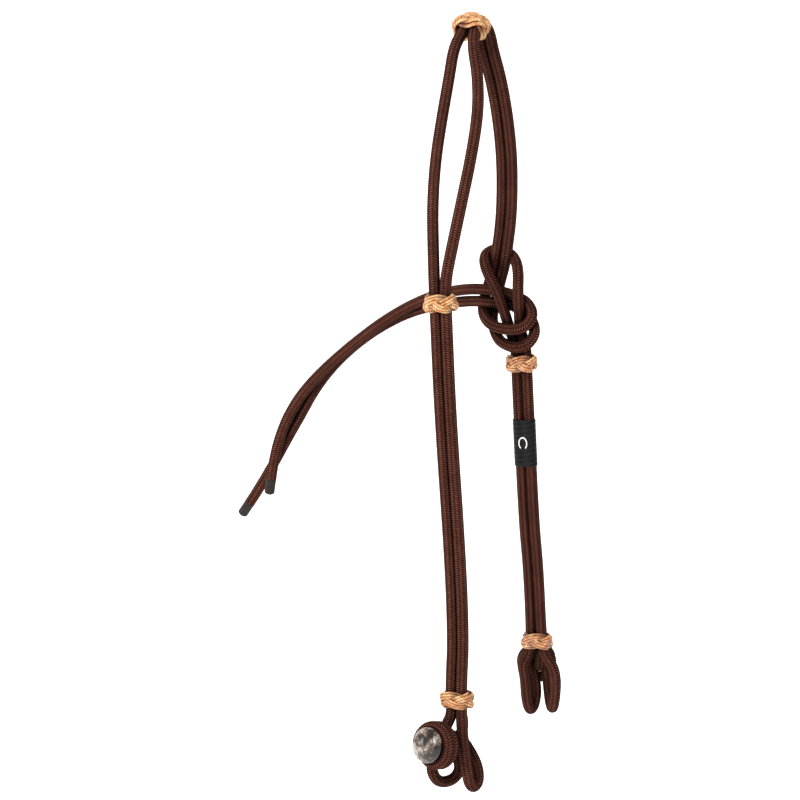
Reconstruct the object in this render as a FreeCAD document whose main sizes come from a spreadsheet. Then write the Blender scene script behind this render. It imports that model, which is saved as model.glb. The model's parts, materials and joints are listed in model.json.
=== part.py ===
import FreeCAD, Part
import math
import os
from FreeCAD import Rotation, Vector

# Rope one-ear headstall: a doubled braided rope bridle with five braided ring knots,
# a doubled sheet bend that adjusts it, and a loop and button at each bit end.
# Millimetres. +Z is up, +X is towards the back of the ear slot and away from the free
# tails, and +Y runs from the near cheek to the far cheek. The origin is the underside
# of the crown, where the headstall hangs.

doc = FreeCAD.newDocument("rope_headstall")
sheet = doc.addObject("Spreadsheet::Sheet", "Sizes")

SIZES = [
    ("rope_diameter", 6.4, "braided rope"),
    ("pair_half", 3.3, "half the distance between two ropes lying side by side"),
    ("third_rope", 5.7, "how far a third rope lies behind a pair, nested between them"),
    ("crown_radius", 16.0, "centreline of the crown over its peg"),
    ("crown_height", 6.9, "centreline of the crown above the origin"),
    ("crown_near_angle", 40.0, "degrees of crown arc on the near side"),
    ("crown_far_angle", 69.0, "degrees of crown arc on the far side"),
    ("knot_height", 11.6, "length of a ring knot along its ropes"),
    ("knot_wall", 3.3, "thickness of a ring knot"),
    ("knot_clearance", 0.3, "gap round the ropes inside a ring knot"),
    ("knot_round", 1.5, "rounding of a ring knot's rims"),
    ("crown_knot_angle", 15.0, "degrees from the top of the crown to its ring knot"),
    ("sleeve_length", 29.5, "shrink sleeve on the far cheek"),
    ("sleeve_wall", 0.5, "sleeve thickness"),
    ("whipping_length", 18.0, "thread whipping under the sleeve"),
    ("whipping_wall", 0.3, "whipping thickness"),
    ("fit_gap", 0.05, "gap between the ropes and what is bound tightly round them"),
    ("wrap_radius", 10.0, "centreline of the rope turns of a button"),
    ("wrap_pitch", 6.6, "distance between the two turns of a button"),
    ("core_radius", 6.5, "button core inside the rope turns"),
    ("core_length", 10.0, "button core"),
    ("core_front", 4.2, "front of the core, and back of the stone, ahead of the turns' middle"),
    ("plug_radius", 6.4, "shank of the stone inside the front turn"),
    ("plug_length", 3.2, "shank of the stone"),
    ("stone_radius", 9.7, "stone above the rope"),
    ("stone_edge", 1.2, "straight edge of the stone below its dome"),
    ("stone_dome", 5.0, "height of the stone's dome"),
    ("tip_radius", 3.5, "dipped rope end"),
    ("tip_length", 11.0, "dipped rope end"),
    ("tip_round", 1.6, "rounding of the dipped end"),
]
for row, (alias, value, note) in enumerate(SIZES, start=1):
    sheet.set("A%d" % row, alias)
    sheet.set("B%d" % row, str(value))
    sheet.set("C%d" % row, note)
    sheet.setAlias("B%d" % row, alias)
doc.recompute()


def size(alias):
    return float(getattr(sheet, alias))


ROPE_RADIUS = size("rope_diameter") / 2
HALF = size("pair_half")

# Where the ring knots sit on their ropes: the middle of the rope pair and its height.
NEAR_Y = -71.0
FAR_Y = 41.0
EAR_KNOT = Vector(-1.3, NEAR_Y, -145.4)
NEAR_BIT_KNOT = Vector(-4.4, NEAR_Y, -381.1)
FAR_UPPER_KNOT = Vector(3.0, FAR_Y, -200.8)
FAR_BIT_KNOT = Vector(4.6, FAR_Y, -377.8)
SLEEVE = Vector(3.0, FAR_Y, -250.5)

# The buttons: the middle of the rope turns, and the way the stone faces.
NEAR_BUTTON = Vector(-12.0, -87.0, -405.5)
NEAR_FACING = Vector(-0.13, -0.90, 0.42)
FAR_BUTTON = Vector(-7.3, 66.5, -398.5)
FAR_FACING = Vector(-0.40, 0.88, 0.26)


# ---------------------------------------------------------------- rope routes

def crown_point(x, angle):
    """A point of the crown arc: degrees from its top, positive to the far side."""
    radius = size("crown_radius")
    turn = math.radians(angle)
    centre_z = size("crown_height") - radius
    return Vector(x, radius * math.sin(turn), centre_z + radius * math.cos(turn))


def crown_ahead(x, angle, distance, side):
    """A point straight on from the end of the crown arc, down one side of it."""
    turn = math.radians(angle)
    along = Vector(0, side * math.cos(turn), -abs(math.sin(turn)))
    return crown_point(x, angle) + along * distance


def vectors(rows):
    return [Vector(*row) for row in rows]


# Front ear strand, near cheek, the bit loop and back up the near cheek as one rope.
NEAR_ROUTE = (
    [crown_point(-HALF, -40), crown_ahead(-HALF, -40, 6.0, -1)]
    + vectors([
        (-5.4, -19.0, -5.5), (-8.2, -24.0, -21.0), (-10.2, -32.5, -40.5),
        (-10.3, -46.0, -66.0), (-8.9, -57.5, -91.5), (-5.8, -67.0, -116.0),
        (-4.6, -71.0, -134.0), (-4.6, -71.0, -325.0), (-7.7, -71.0, -350.0),
        (-7.7, -71.0, -390.0), (-12.4, -71.0, -398.0), (-22.0, -70.0, -416.0),
        (-26.0, -68.0, -428.0), (-23.6, -64.0, -437.6), (-15.4, -56.8, -438.0),
        (-11.6, -54.8, -429.0), (-16.4, -57.0, -416.0), (-19.6, -59.2, -403.4),
        (-6.4, -57.6, -402.6), (-4.4, -56.0, -416.0), (1.4, -54.8, -428.5),
        (1.4, -57.2, -439.0), (-0.2, -66.2, -439.0), (-1.4, -70.0, -426.5),
        (-1.6, -71.0, -407.0), (-1.1, -71.0, -390.5), (-1.1, -71.0, -350.0),
        (2.0, -71.0, -325.0), (2.0, -71.0, -134.0), (5.0, -67.0, -117.0),
        (8.6, -57.5, -91.5), (11.2, -45.5, -65.0), (11.3, -33.0, -41.0),
        (8.8, -24.0, -21.0), (5.2, -19.0, -5.5),
    ])
    + [crown_ahead(HALF, -40, 6.0, -1), crown_point(HALF, -40)]
)

# Left crown strand: down into the sheet bend, its upper ring, and the upper tail.
UPPER_TAIL_ROUTE = (
    [crown_point(-HALF, 69), crown_ahead(-HALF, 69, 8.0, 1)]
    + vectors([
        (-3.1, 25.0, -27.0), (-2.3, 32.0, -50.0), (-2.6, 37.0, -74.0),
        (-4.3, 39.6, -97.0), (-6.0, 40.0, -113.0), (-8.6, 40.2, -127.5),
        (-15.2, 45.4, -141.0), (-22.2, 48.4, -152.4), (-26.6, 48.4, -164.2),
        (-24.2, 42.8, -171.6), (-17.4, 36.4, -175.2), (-9.6, 33.6, -177.6),
        (-1.2, 33.0, -179.2), (6.6, 33.8, -178.4), (12.6, 36.4, -174.8),
        (14.6, 39.6, -168.6), (10.8, 41.6, -162.8), (2.0, 41.6, -157.8),
        (-9.0, 40.6, -154.2), (-24.0, 40.0, -154.2), (-38.5, 39.2, -155.8),
        (-53.0, 38.2, -159.4), (-69.5, 37.4, -166.2), (-86.5, 37.0, -175.6),
        (-104.0, 37.0, -187.4), (-120.5, 37.0, -199.8), (-135.5, 37.0, -212.4),
        (-148.5, 37.0, -225.8), (-158.2, 37.0, -240.0), (-165.0, 37.0, -254.6),
        (-169.4, 37.0, -268.6), (-172.0, 37.0, -279.6),
    ])
)

# Right crown strand: the lower ring of the sheet bend, and the lower tail.
LOWER_TAIL_ROUTE = (
    [crown_point(HALF, 69), crown_ahead(HALF, 69, 8.0, 1)]
    + vectors([
        (3.5, 25.0, -27.0), (4.3, 32.0, -50.0), (4.0, 37.0, -74.0),
        (2.3, 39.6, -97.0), (0.6, 39.8, -113.0), (-1.6, 39.6, -126.0),
        (-3.6, 40.6, -134.4), (-7.6, 46.6, -143.2), (-12.4, 50.0, -153.0),
        (-18.6, 51.0, -163.6), (-22.7, 48.8, -173.2), (-18.6, 42.2, -181.2),
        (-11.6, 36.4, -186.4),
        (-4.4, 34.4, -189.4), (2.8, 34.2, -190.6), (9.6, 36.0, -188.4),
        (14.2, 39.8, -182.6), (12.8, 44.2, -175.6), (7.2, 47.0, -169.4),
        (-1.8, 44.2, -164.4), (-13.0, 42.0, -163.4), (-26.5, 41.0, -164.2),
        (-40.5, 41.4, -165.2), (-56.0, 42.6, -167.4), (-72.0, 43.8, -171.4),
        (-88.0, 44.8, -178.2), (-104.0, 45.0, -187.6), (-118.5, 45.0, -198.6),
        (-131.0, 45.0, -210.4), (-142.0, 45.0, -223.6), (-151.0, 45.0, -237.6),
        (-160.4, 45.0, -251.4), (-169.6, 45.0, -265.6), (-178.2, 45.0, -278.4),
        (-186.2, 45.0, -289.6), (-192.8, 45.0, -298.4),
    ])
)

# Far cheek rope, a closed loop whose ends butt together under the sleeve: up the left
# leg, round the bight of the sheet bend, down the right leg, round the bit loop and up.
FAR_ROUTE = vectors([
    (-0.3, 41.0, -250.5), (-0.3, 41.0, -190.0), (-3.4, 40.8, -178.6),
    (-5.0, 36.8, -166.4), (-7.8, 33.4, -155.2), (-12.4, 32.6, -145.8),
    (-17.8, 35.8, -138.0), (-20.6, 43.2, -132.4), (-16.4, 47.0, -128.2),
    (-9.6, 48.2, -128.2), (-2.6, 47.4, -132.0), (4.0, 41.6, -136.8),
    (7.8, 35.8, -143.4), (7.0, 33.0, -152.2), (5.2, 34.2, -161.2),
    (3.2, 39.2, -170.0), (2.6, 41.4, -179.6), (6.3, 41.0, -190.0),
    (6.3, 41.0, -300.0), (7.9, 41.0, -330.0), (7.9, 41.0, -387.0),
    (15.0, 40.0, -392.6), (17.6, 39.8, -402.0), (15.8, 41.0, -414.6),
    (12.6, 44.2, -424.2), (7.2, 50.4, -423.6), (5.4, 52.4, -414.0),
    (7.0, 53.4, -405.5), (6.8, 53.4, -393.4), (-9.0, 53.4, -393.4),
    (-8.8, 53.4, -405.5), (-0.8, 52.4, -415.0), (-1.8, 50.4, -425.6),
    (-4.8, 44.0, -426.0), (-7.0, 41.0, -416.0), (-7.8, 39.8, -402.0),
    (-5.4, 40.0, -392.8), (1.3, 41.0, -387.0), (1.3, 41.0, -330.0),
    (-0.3, 41.0, -300.0), (-0.3, 41.0, -250.5),
])

# Button stalks: whipped in behind the rope pair above the bit knot, down through it,
# round the closed end of the loop and out to the button.
THIRD = size("third_rope")
NEAR_STALK_ROUTE = vectors([
    (-4.4, NEAR_Y + THIRD, -352.0), (-4.4, NEAR_Y + THIRD, -390.5),
    (-7.2, -57.6, -395.0), (-12.4, -51.0, -400.4), (-13.0, -55.0, -410.4),
    (-11.5, -68.5, -411.0),
])
FAR_STALK_ROUTE = vectors([
    (4.6, FAR_Y + THIRD, -350.0), (4.6, FAR_Y + THIRD, -390.5),
    (2.6, 46.8, -399.6),
])


def corner_arc(before, corner, after):
    """The tangent arc that rounds one corner of a route, and its radius."""
    back = before - corner
    ahead = after - corner
    shorter = min(back.Length, ahead.Length)
    half_turn = (math.pi - back.getAngle(ahead)) / 2
    trim = 0.45 * shorter
    radius = trim / math.tan(half_turn)
    back.normalize()
    ahead.normalize()
    inward = (back + ahead).normalize()
    middle = corner + inward * (radius / math.cos(half_turn) - radius)
    arc = Part.Arc(corner + back * trim, middle, corner + ahead * trim)
    return arc, radius


def rounded_path(points):
    """Straight runs joined by tangent arcs, as a list of edges."""
    edges = []
    radii = []
    start = points[0]
    for before, corner, after in zip(points, points[1:], points[2:]):
        arc, radius = corner_arc(before, corner, after)
        edges.append(Part.LineSegment(start, arc.StartPoint).toShape())
        edges.append(arc.toShape())
        radii.append(radius)
        start = arc.EndPoint
    edges.append(Part.LineSegment(start, points[-1]).toShape())
    return edges, radii


def place_on_path(edges, target):
    """How far along a path its nearest point to the target lies."""
    best = None
    travelled = 0.0
    for edge in edges:
        gap, pairs, _ = edge.distToShape(Part.Vertex(target))
        if best is None or gap < best[0]:
            whole = edge.Curve
            first = edge.FirstParameter
            here = whole.parameter(pairs[0][0])
            best = (gap, travelled + whole.length(first, here) if here > first else travelled)
        travelled += edge.Length
    return best[1]


def stretch(edges, begin, finish):
    """The edges of a path between two distances along it."""
    kept = []
    travelled = 0.0
    for edge in edges:
        low = max(begin - travelled, 0.0)
        high = min(finish - travelled, edge.Length)
        if high - low > 1e-6:
            curve = edge.Curve
            first = curve.parameterAtDistance(low, edge.FirstParameter)
            last = curve.parameterAtDistance(high, edge.FirstParameter)
            kept.append(curve.toShape(first, last))
        travelled += edge.Length
    return kept


def tube(edges):
    """A round rope swept along edges that join smoothly."""
    path = Part.Wire(edges)
    first = edges[0]
    start = first.valueAt(first.FirstParameter)
    heading = first.tangentAt(first.FirstParameter)
    section = Part.Wire(Part.makeCircle(ROPE_RADIUS, start, heading))
    solid = path.makePipeShell([section], True, False)
    if solid.Volume < 0:
        solid.reverse()
    expected = math.pi * ROPE_RADIUS ** 2 * path.Length
    return solid, path.Length, solid.Volume / expected


def add_rope(label, edges):
    solid, length, ratio = tube(edges)
    piece = doc.addObject("Part::Feature", label)
    piece.Shape = solid
    piece.Placement = FreeCAD.Placement()
    print("%-22s length %6.1f mm, volume / (section x length) %.4f" % (label, length, ratio))
    return piece


def add_strand(points, labels, cuts):
    """One rope, as a node for each stretch between the cuts."""
    edges, radii = rounded_path(points)
    total = sum(edge.Length for edge in edges)
    places = [0.0] + [place_on_path(edges, Vector(*cut)) for cut in cuts] + [total]
    print("tightest bends of %s: %s" % (
        labels[0], ", ".join("%.1f" % radius for radius in sorted(radii)[:6])))
    return [
        add_rope(label, stretch(edges, begin, finish))
        for label, begin, finish in zip(labels, places, places[1:])
    ]


def add_crown_rope(label, x):
    """One rope of the crown, a plain arc over the peg."""
    near = -size("crown_near_angle")
    far = size("crown_far_angle")
    arc = Part.Arc(crown_point(x, near), crown_point(x, (near + far) / 2), crown_point(x, far))
    return add_rope(label, [arc.toShape()])


# ---------------------------------------------------------------- ring knots and sleeve

def outline(points, radius):
    """The outline round two or three rope centres in a plane, as lines and arcs."""
    parts = []
    count = len(points)
    normals = []
    for number in range(count):
        along = (points[(number + 1) % count] - points[number]).normalize()
        normals.append(Vector(along.y, -along.x, 0))
    for number in range(count):
        here = points[number]
        there = points[(number + 1) % count]
        out = normals[number] * radius
        parts.append(Part.LineSegment(here + out, there + out))
        turn = normals[number].getAngle(normals[(number + 1) % count])
        start = math.atan2(out.y, out.x)
        circle = Part.Circle(there, Vector(0, 0, 1), radius)
        parts.append(Part.ArcOfCircle(circle, start, start + turn))
    return parts


PAIR = [Vector(-HALF, 0, 0), Vector(HALF, 0, 0)]
PAIR_AND_STALK = PAIR + [Vector(0, THIRD, 0)]


def add_sketch(body, name, shapes):
    sketch = body.newObject("Sketcher::SketchObject", name)
    plane = [item for item in body.Origin.OriginFeatures if item.Role == "XY_Plane"][0]
    sketch.AttachmentSupport = (plane, "")
    sketch.MapMode = "FlatFace"
    sketch.addGeometry(shapes)
    return sketch


def add_band(label, centres, inner, wall, length_cell, round_cell=None):
    """A closed band round ropes that lie along its Z axis, as a padded outline."""
    body = doc.addObject("PartDesign::Body", label)
    profile = add_sketch(
        body, label + "_profile", outline(centres, inner + wall) + outline(centres, inner))
    pad = body.newObject("PartDesign::Pad", label + "_pad")
    pad.Profile = profile
    pad.SideType = "Symmetric"
    pad.setExpression("Length", "Sizes." + length_cell)
    body.Tip = pad
    if round_cell:
        doc.recompute()
        reach = inner + wall / 2
        rims = [
            "Edge%d" % (number + 1) for number, edge in enumerate(pad.Shape.Edges)
            if abs(edge.BoundBox.ZLength) < 1e-6 and is_outside(middle_of(edge), centres, reach)
        ]
        rounding = body.newObject("PartDesign::Fillet", label + "_rounding")
        rounding.Base = (pad, rims)
        rounding.setExpression("Radius", "Sizes." + round_cell)
        body.Tip = rounding
    return body


def middle_of(edge):
    """The middle of an edge, dropped on to the plane of the outline."""
    middle = edge.valueAt((edge.FirstParameter + edge.LastParameter) / 2)
    return Vector(middle.x, middle.y, 0)


def is_outside(middle, centres, reach):
    """Whether the middle of a band's edge lies on its outer outline."""
    rail = Part.makePolygon(centres + centres[:1] if len(centres) > 2 else centres)
    return rail.distToShape(Part.Vertex(middle))[0] > reach


def add_ring_knot(label, centres, place):
    inner = ROPE_RADIUS + size("knot_clearance")
    knot = add_band(label, centres, inner, size("knot_wall"), "knot_height", "knot_round")
    knot.Placement = FreeCAD.Placement(place, Rotation())
    return knot


def add_crown_knot(label):
    """The crown's ring knot, bent along the crown arc so it can slide round it."""
    inner = ROPE_RADIUS + size("knot_clearance")
    wall = size("knot_wall")
    radius = size("crown_radius")
    lift = Vector(0, radius, 0)
    centres = [point + lift for point in PAIR]
    body = doc.addObject("PartDesign::Body", label)
    profile = body.newObject("Sketcher::SketchObject", label + "_profile")
    plane = [item for item in body.Origin.OriginFeatures if item.Role == "XZ_Plane"][0]
    profile.AttachmentSupport = (plane, "")
    profile.MapMode = "FlatFace"
    profile.addGeometry(outline(centres, inner + wall) + outline(centres, inner))
    turned = body.newObject("PartDesign::Revolution", label + "_turned")
    turned.Profile = profile
    turned.ReferenceAxis = (profile, ["H_Axis"])
    span = math.degrees(size("knot_height") / radius)
    turned.Angle = span
    turned.Midplane = True
    doc.recompute()
    rims = []
    for number, edge in enumerate(turned.Shape.Edges, start=1):
        middle = edge.valueAt((edge.FirstParameter + edge.LastParameter) / 2)
        angle = math.degrees(math.atan2(middle.y, middle.z))
        flat = Vector(middle.x, math.hypot(middle.y, middle.z) - radius, 0)
        if abs(abs(angle) - span / 2) < 0.01 and is_outside(flat, PAIR, inner + wall / 2):
            rims.append("Edge%d" % number)
    rounding = body.newObject("PartDesign::Fillet", label + "_rounding")
    rounding.Base = (turned, rims)
    rounding.setExpression("Radius", "Sizes.knot_round")
    body.Tip = rounding
    lean = Rotation(Vector(1, 0, 0), size("crown_knot_angle"))
    centre = Vector(0, 0, size("crown_height") - radius)
    body.Placement = FreeCAD.Placement(centre, lean)
    return body


def add_sleeve():
    gap = size("fit_gap")
    whipping = size("whipping_wall")
    inner = ROPE_RADIUS + gap
    binding = add_band("butt_whipping", PAIR, inner, whipping, "whipping_length")
    binding.Placement = FreeCAD.Placement(SLEEVE, Rotation())
    sleeve_inner = inner + whipping + gap
    sleeve = add_band("shrink_sleeve", PAIR, sleeve_inner, size("sleeve_wall"), "sleeve_length")
    sleeve.Placement = FreeCAD.Placement(SLEEVE, Rotation())
    return [binding, sleeve]


# ---------------------------------------------------------------- buttons and tips

def facing(direction):
    return Rotation(Vector(0, 0, 1), direction)


def add_button_wrap(label, centre, direction):
    """Rope turned round the button core: a back turn, a step forward and a front turn."""
    per_turn = 10
    flat = 6
    step = 4
    start = math.radians(100)
    radius = size("wrap_radius") / math.cos(math.pi / per_turn)
    pitch = size("wrap_pitch")
    spin = facing(direction)
    points = []
    for number in range(2 * flat + step + 1):
        angle = start + 2 * math.pi * number / per_turn
        climbed = min(max((number - flat) / step, 0.0), 1.0)
        local = Vector(radius * math.cos(angle), radius * math.sin(angle), pitch * (climbed - 0.5))
        points.append(centre + spin.multVec(local))
    edges, _ = rounded_path(points)
    return add_rope(label, edges)


def add_button_core(label, centre, direction):
    core = doc.addObject("Part::Cylinder", label)
    core.setExpression("Radius", "Sizes.core_radius")
    core.setExpression("Height", "Sizes.core_length")
    way = Vector(direction).normalize()
    back = centre - way * (size("core_length") - size("core_front"))
    core.Placement = FreeCAD.Placement(back, facing(direction))
    return core


def add_stone(label, centre, direction):
    """A domed stone with a shank that sits in the front turn of rope."""
    plug = size("plug_radius")
    shank = size("plug_length")
    rim = size("stone_radius")
    edge = shank + size("stone_edge")
    top = edge + size("stone_dome")
    body = doc.addObject("PartDesign::Body", label)
    sketch = body.newObject("Sketcher::SketchObject", label + "_profile")
    plane = [item for item in body.Origin.OriginFeatures if item.Role == "XZ_Plane"][0]
    sketch.AttachmentSupport = (plane, "")
    sketch.MapMode = "FlatFace"
    corners = [(0, 0), (plug, 0), (plug, shank), (rim, shank), (rim, edge)]
    corners = [Vector(x, y, 0) for x, y in corners]
    shapes = [Part.LineSegment(a, b) for a, b in zip(corners, corners[1:])]
    sphere = (rim ** 2 + size("stone_dome") ** 2) / (2 * size("stone_dome"))
    lean = math.asin(rim / sphere) / 2
    shoulder = Vector(sphere * math.sin(lean), top - sphere * (1 - math.cos(lean)), 0)
    shapes.append(Part.Arc(corners[-1], shoulder, Vector(0, top, 0)))
    shapes.append(Part.LineSegment(Vector(0, top, 0), corners[0]))
    sketch.addGeometry(shapes)
    turned = body.newObject("PartDesign::Revolution", label + "_turned")
    turned.Profile = sketch
    turned.ReferenceAxis = (sketch, ["V_Axis"])
    turned.Angle = 360
    body.Tip = turned
    way = Vector(direction).normalize()
    body.Placement = FreeCAD.Placement(centre + way * size("core_front"), facing(direction))
    return body


def add_tip(label, points):
    """A dipped rope end, standing on the cut face of its tail."""
    way = (points[-1] - points[-2]).normalize()
    blank = doc.addObject("Part::Cylinder", label + "_blank")
    blank.setExpression("Radius", "Sizes.tip_radius")
    blank.setExpression("Height", "Sizes.tip_length")
    doc.recompute()
    rim = [
        number + 1 for number, edge in enumerate(blank.Shape.Edges)
        if edge.BoundBox.ZMin > size("tip_length") / 2
    ]
    tip = doc.addObject("Part::Fillet", label)
    tip.Base = blank
    tip.Edges = [(number, size("tip_round"), size("tip_round")) for number in rim]
    tip.Placement = FreeCAD.Placement(points[-1], facing(way))
    return tip


BUTTONS = [("near", NEAR_BUTTON, NEAR_FACING), ("far", FAR_BUTTON, FAR_FACING)]


def stalk_points(points, centre, direction):
    """A stalk's route carried on to the back face of the button core."""
    way = Vector(direction).normalize()
    back_face = centre - way * (size("core_length") - size("core_front"))
    return points + [back_face - way * 7.0, back_face]


# ---------------------------------------------------------------- assembly

pieces = [add_crown_rope("crown_rope_front", -HALF), add_crown_rope("crown_rope_rear", HALF)]
pieces += add_strand(
    NEAR_ROUTE,
    ["front_ear_bend", "front_cheek_strand", "near_neck_left", "near_bit_loop",
     "near_neck_right", "rear_cheek_strand", "rear_ear_bend"],
    [(-6.6, -21.5, -13.0), (-7.7, -71.0, -387.2), (-12.0, -71.0, -397.5),
     (-1.4, -71.0, -399.0), (-1.1, -71.0, -387.2), (6.6, -21.5, -13.0)],
)
pieces += add_strand(
    UPPER_TAIL_ROUTE,
    ["left_crown_bend", "left_crown_strand", "upper_tail_bend", "upper_tail"],
    [(-3.1, 24.0, -24.0), (-25.0, 40.0, -154.3), (-45.0, 38.7, -157.2)],
)
pieces += add_strand(
    LOWER_TAIL_ROUTE,
    ["right_crown_bend", "right_crown_strand", "lower_tail_bend", "lower_tail"],
    [(3.5, 24.0, -24.0), (-25.0, 41.0, -164.1), (-45.0, 41.8, -165.7)],
)
pieces += add_strand(
    FAR_ROUTE,
    ["far_cheek_bight", "far_neck_right", "far_bit_loop", "far_neck_left", "far_cheek_leg"],
    [(7.9, 41.0, -384.0), (14.5, 40.2, -392.2), (-5.0, 40.2, -392.2), (1.3, 41.0, -384.0)],
)
pieces += add_strand(
    stalk_points(NEAR_STALK_ROUTE, NEAR_BUTTON, NEAR_FACING),
    ["near_stalk_end", "near_stalk_bend", "near_stalk"],
    [(-4.4, NEAR_Y + THIRD, -387.2), (-8.0, -56.8, -395.8)],
)
pieces += add_strand(
    stalk_points(FAR_STALK_ROUTE, FAR_BUTTON, FAR_FACING),
    ["far_stalk_end", "far_stalk_bend", "far_stalk"],
    [(4.6, FAR_Y + THIRD, -384.0), (3.4, 46.8, -396.0)],
)

pieces.append(add_crown_knot("crown_knot"))
pieces.append(add_ring_knot("ear_knot", PAIR, EAR_KNOT))
pieces.append(add_ring_knot("far_upper_knot", PAIR, FAR_UPPER_KNOT))
pieces.append(add_ring_knot("near_bit_knot", PAIR_AND_STALK, NEAR_BIT_KNOT))
pieces.append(add_ring_knot("far_bit_knot", PAIR_AND_STALK, FAR_BIT_KNOT))
pieces += add_sleeve()
for side, centre, direction in BUTTONS:
    pieces.append(add_button_wrap(side + "_button_wrap", centre, direction))
    pieces.append(add_button_core(side + "_button_core", centre, direction))
    pieces.append(add_stone(side + "_button_stone", centre, direction))
pieces.append(add_tip("upper_tail_tip", UPPER_TAIL_ROUTE))
pieces.append(add_tip("lower_tail_tip", LOWER_TAIL_ROUTE))

doc.recompute()

for item in doc.Objects:
    if "Invalid" in item.State or "Error" in item.State:
        raise RuntimeError("%s failed: %s" % (item.Label, item.State))
for piece in pieces:
    if piece.Shape.isNull() or not piece.Shape.isValid():
        raise RuntimeError("%s has no valid shape" % piece.Label)

os.makedirs("parts", exist_ok=True)
for piece in pieces:
    piece.Shape.exportStep("parts/%s.step" % piece.Label)
print("wrote", len(pieces), "pieces")
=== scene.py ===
import json
import math

import bmesh
import bpy
import numpy as np
from mathutils import Matrix, Vector


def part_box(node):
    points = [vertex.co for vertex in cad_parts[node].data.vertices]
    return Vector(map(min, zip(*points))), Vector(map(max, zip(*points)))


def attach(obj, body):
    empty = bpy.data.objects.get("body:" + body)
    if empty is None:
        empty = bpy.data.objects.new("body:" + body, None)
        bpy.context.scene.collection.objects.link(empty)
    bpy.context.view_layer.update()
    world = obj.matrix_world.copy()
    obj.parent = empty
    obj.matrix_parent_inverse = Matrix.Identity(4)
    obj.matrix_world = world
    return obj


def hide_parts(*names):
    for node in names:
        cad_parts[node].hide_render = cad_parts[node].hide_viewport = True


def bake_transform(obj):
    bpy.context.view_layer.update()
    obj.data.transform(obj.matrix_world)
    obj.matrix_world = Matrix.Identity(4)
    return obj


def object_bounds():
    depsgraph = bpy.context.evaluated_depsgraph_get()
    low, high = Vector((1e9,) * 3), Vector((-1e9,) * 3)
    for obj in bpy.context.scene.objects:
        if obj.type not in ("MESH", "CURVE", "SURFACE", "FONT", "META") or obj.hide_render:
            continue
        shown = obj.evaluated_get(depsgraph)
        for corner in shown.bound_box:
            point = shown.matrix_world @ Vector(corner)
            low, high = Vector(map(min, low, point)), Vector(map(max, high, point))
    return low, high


# Rope one-ear headstall: a doubled braided rope, five ring knots of waxed cord, a sheet
# bend with two free tails, and a loop and button at each bit end. Metres throughout.

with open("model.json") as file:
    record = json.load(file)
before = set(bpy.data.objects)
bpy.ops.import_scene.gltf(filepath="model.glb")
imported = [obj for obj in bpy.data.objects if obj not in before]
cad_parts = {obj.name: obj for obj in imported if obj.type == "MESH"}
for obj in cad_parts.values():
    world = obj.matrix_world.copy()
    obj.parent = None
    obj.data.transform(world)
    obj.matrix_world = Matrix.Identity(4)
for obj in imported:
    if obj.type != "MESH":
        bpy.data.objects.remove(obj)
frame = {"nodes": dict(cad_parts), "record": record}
cad_low, cad_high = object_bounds()

ROPE = 0.0064            # diameter of the rope
HALF = 0.0033            # half the distance between two ropes side by side
CROWN_RADIUS = 0.016     # bend of the ropes over the crown
CROWN_TOP = 0.0069       # height of the rope's middle at the crown
CROWN_CENTRE = CROWN_TOP - CROWN_RADIUS

# ---------------------------------------------------------------- camera

CAMERA_PLACE = (0.5223, -1.3111, 0.0615)
camera = bpy.data.cameras.new("camera")
camera.lens = 108
camera.sensor_width = 36
camera.clip_start, camera.clip_end = 0.05, 30
eye = bpy.data.objects.new("camera", camera)
bpy.context.scene.collection.objects.link(eye)
azimuth, elevation, roll = (math.radians(angle) for angle in (24.0, 11.0, 3.2))
back = Vector((math.sin(azimuth) * math.cos(elevation), -math.cos(azimuth) * math.cos(elevation),
               math.sin(elevation)))
level = Vector((math.cos(azimuth), math.sin(azimuth), 0))
upright = back.cross(level)
right = level * math.cos(roll) - upright * math.sin(roll)
turned = Matrix((right, back.cross(right), back)).transposed()
eye.matrix_world = Matrix.Translation(CAMERA_PLACE) @ turned.to_4x4()
bpy.context.scene.camera = eye

# ---------------------------------------------------------------- rope routes
# The control points of the part's rope routes. In the sheet bend, the bit loops, the stalks
# and the strands near the crown they differ from the part's own points: the ropes lie up to
# 5.5 mm off its lines there, and the hidden near stalk up to 10.5 mm.

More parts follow.
